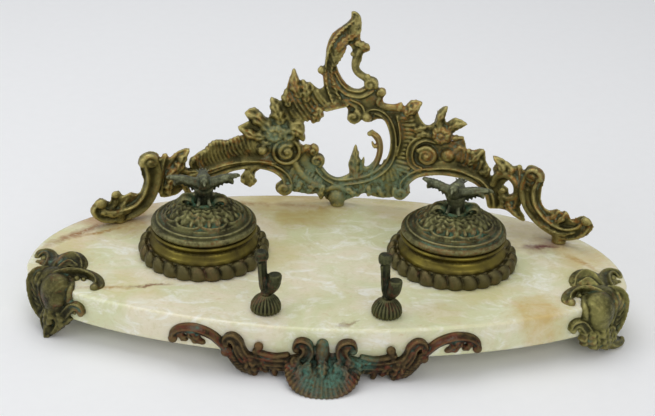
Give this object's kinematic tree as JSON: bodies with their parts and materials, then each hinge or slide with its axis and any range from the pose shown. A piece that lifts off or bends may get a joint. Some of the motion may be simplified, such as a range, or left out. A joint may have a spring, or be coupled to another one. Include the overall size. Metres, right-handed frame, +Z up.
{
  "type": "double inkwell stand",
  "caption": "Scrollwork bronze double inkwell stand on an onyx slab, with hinged bird-topped lids, glass liners, pen rests and a pierced back gallery.",
  "frame": {"origin": "centre of the bounding box on the ground", "axes": "+X to the right of the stand, +Y from its front to its back, +Z up"},
  "size_m": [0.344, 0.1869, 0.1565],
  "materials": {
    "onyx": "polished",
    "patinated_bronze": "cast, dark patina with green in the hollows",
    "copper_bronze": "cast, red-brown patina with green in the hollows",
    "brass_pots": "turned, worn golden brown patina",
    "brass_fittings": "turned, aged",
    "glass": "clear pressed"
  },
  "bodies": {
    "stand": {"onyx_slab": "onyx", "gallery": "patinated_bronze", "gallery_studs": "brass_fittings", "gallery_nuts": "brass_fittings", "left_collar": "patinated_bronze", "right_collar": "patinated_bronze", "left_pot": "brass_pots", "right_pot": "brass_pots", "pot_screws": "brass_fittings", "pot_washers": "brass_fittings", "left_glass_liner": "glass", "right_glass_liner": "glass", "left_hinge_bracket": "brass_fittings", "right_hinge_bracket": "brass_fittings", "left_hinge_pin": "brass_fittings", "right_hinge_pin": "brass_fittings", "left_pen_rest_base": "patinated_bronze", "right_pen_rest_base": "patinated_bronze", "left_pen_fork": "patinated_bronze", "right_pen_fork": "patinated_bronze", "pen_fork_nuts": "brass_fittings", "left_front_foot": "patinated_bronze", "right_front_foot": "patinated_bronze", "front_shell_foot": "copper_bronze", "left_rear_foot": "patinated_bronze", "right_rear_foot": "patinated_bronze", "foot_screws": "brass_fittings", "rear_foot_screws": "brass_fittings"},
    "left_lid": {"left_lid": "patinated_bronze", "left_bird_finial": "patinated_bronze", "left_finial_nut": "brass_fittings"},
    "right_lid": {"right_lid": "patinated_bronze", "right_bird_finial": "patinated_bronze", "right_finial_nut": "brass_fittings"}
  },
  "joints": [
    {"name": "left_lid_hinge", "type": "hinge", "parent": "stand", "child": "left_lid", "pos_m": [-0.0725, 0.0481, 0.048], "axis": [-1, 0, 0], "range_deg": [0, 60]},
    {"name": "right_lid_hinge", "type": "hinge", "parent": "stand", "child": "right_lid", "pos_m": [0.0725, 0.0481, 0.048], "axis": [-1, 0, 0], "range_deg": [0, 60]}
  ]
}
